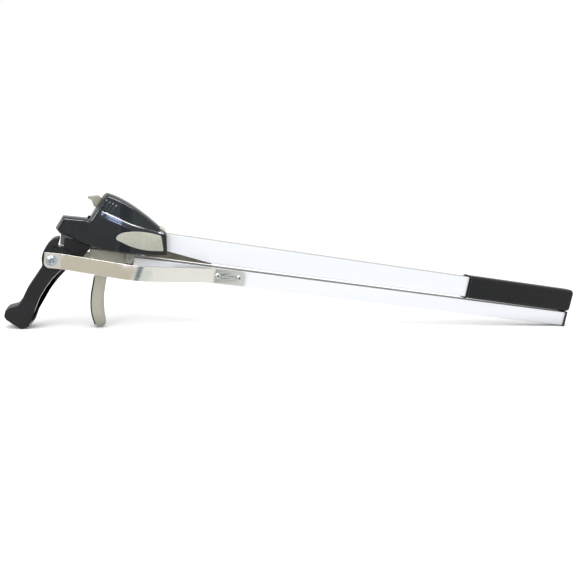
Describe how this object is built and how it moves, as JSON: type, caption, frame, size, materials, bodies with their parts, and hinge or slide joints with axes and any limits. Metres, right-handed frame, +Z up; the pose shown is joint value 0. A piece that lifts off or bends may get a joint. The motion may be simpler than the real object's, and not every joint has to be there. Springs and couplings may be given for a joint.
{
  "type": "long reach stapler",
  "caption": "Long reach plier stapler: head with trigger and hook handle on a gripped tube, worked by a second tube hinged below on bent straps.",
  "frame": {"origin": "on the floor under the middle of the whole length, midway between the two sides", "axes": "+X from the stapling head towards the gripped end, +Y towards the right side (away from the viewer), +Z up, tool standing on its hook foot and the lower tube's end cap"},
  "size_m": [0.7928, 0.09, 0.1596],
  "materials": {
    "head_shell": "glossy moulded ABS, near black",
    "inlay": "stippled warm grey plastic",
    "screws": "zinc plated steel",
    "black_steel": "black painted pressed steel",
    "collar": "warm grey moulded liner",
    "tube": "satin anodised extrusion",
    "grip": "dipped black vinyl",
    "handle": "black moulded nylon with a satin skin",
    "anvil": "ground steel",
    "bolt": "bright zinc plated steel",
    "sleeve": "turned bronze bush",
    "pins": "ground steel pin",
    "spring": "spring steel wire",
    "end_cap": "black moulded end plug",
    "nylon": "black nylon",
    "strap": "bright rolled flat bar",
    "trigger": "satin warm grey plastic",
    "strip": "black backing strip",
    "magazine_steel": "pressed steel",
    "nose": "nickel plated steel",
    "staples": "bright staple wire"
  },
  "bodies": {
    "head": {"housing_left": "head_shell", "housing_right": "head_shell", "inlay_left": "inlay", "inlay_right": "inlay", "housing_screws": "screws", "head_frame": "black_steel", "tube_collar": "collar", "upper_tube": "tube", "grip": "grip", "tube_bolts": "screws", "hook_handle": "handle", "hook_bolts": "black_steel", "anvil": "anvil", "pivot_bolt": "bolt", "pivot_nut": "bolt", "pivot_sleeve": "sleeve", "trigger_pin": "pins", "magazine_pin": "pins", "lever_pin": "pins", "trigger_spring": "spring", "lever_spring": "spring"},
    "lower_arm": {"lower_tube": "tube", "lower_end_cap": "end_cap", "push_block": "nylon", "push_block_pin": "pins", "strap_left": "strap", "strap_right": "strap", "strap_screws": "screws", "strap_nuts": "screws"},
    "trigger": {"trigger": "trigger", "trigger_strip": "strip"},
    "magazine": {"magazine": "magazine_steel", "nose_plate": "nose", "staple_stick": "staples"},
    "pusher": {"staple_pusher": "nylon", "pusher_spring": "spring"},
    "driver": {"driver_blade": "magazine_steel", "driver_arm": "magazine_steel"},
    "release_lever": {"release_lever": "trigger"}
  },
  "joints": [
    {"name": "arm_hinge", "type": "hinge", "parent": "head", "child": "lower_arm", "pos_m": [-0.34659, 0, 0.08028], "axis": [0, 1, 0], "range_deg": [0, 5]},
    {"name": "trigger_hinge", "type": "hinge", "parent": "head", "child": "trigger", "pos_m": [-0.26181, 0, 0.08384], "axis": [0, 1, 0], "range_deg": [-20, 0]},
    {"name": "magazine_hinge", "type": "hinge", "parent": "head", "child": "magazine", "pos_m": [-0.2524, 0, 0.09747], "axis": [0, 1, 0], "range_deg": [0, 5]},
    {"name": "driver_slide", "type": "slide", "parent": "head", "child": "driver", "axis": [0.0997, 0, 0.995], "range_m": [0, 0.01]},
    {"name": "pusher_slide", "type": "slide", "parent": "magazine", "child": "pusher", "axis": [0.995, 0, -0.0997], "range_m": [0, 0.022], "stiffness_N_per_m": 60, "springref_m": -0.05, "deforming": ["pusher_spring"]},
    {"name": "lever_hinge", "type": "hinge", "parent": "head", "child": "release_lever", "pos_m": [-0.29185, 0, 0.14514], "axis": [0, 1, 0], "range_deg": [-15, 0], "stiffness_Nm_per_rad": 0.05, "springref_deg": 20.05}
  ],
  "couplings": [
    {"joint": "trigger_hinge", "follows": "arm_hinge", "ratio": -4},
    {"joint": "magazine_hinge", "follows": "arm_hinge", "ratio": 1},
    {"joint": "driver_slide", "follows": "arm_hinge", "m_per_rad": 0.1145}
  ]
}
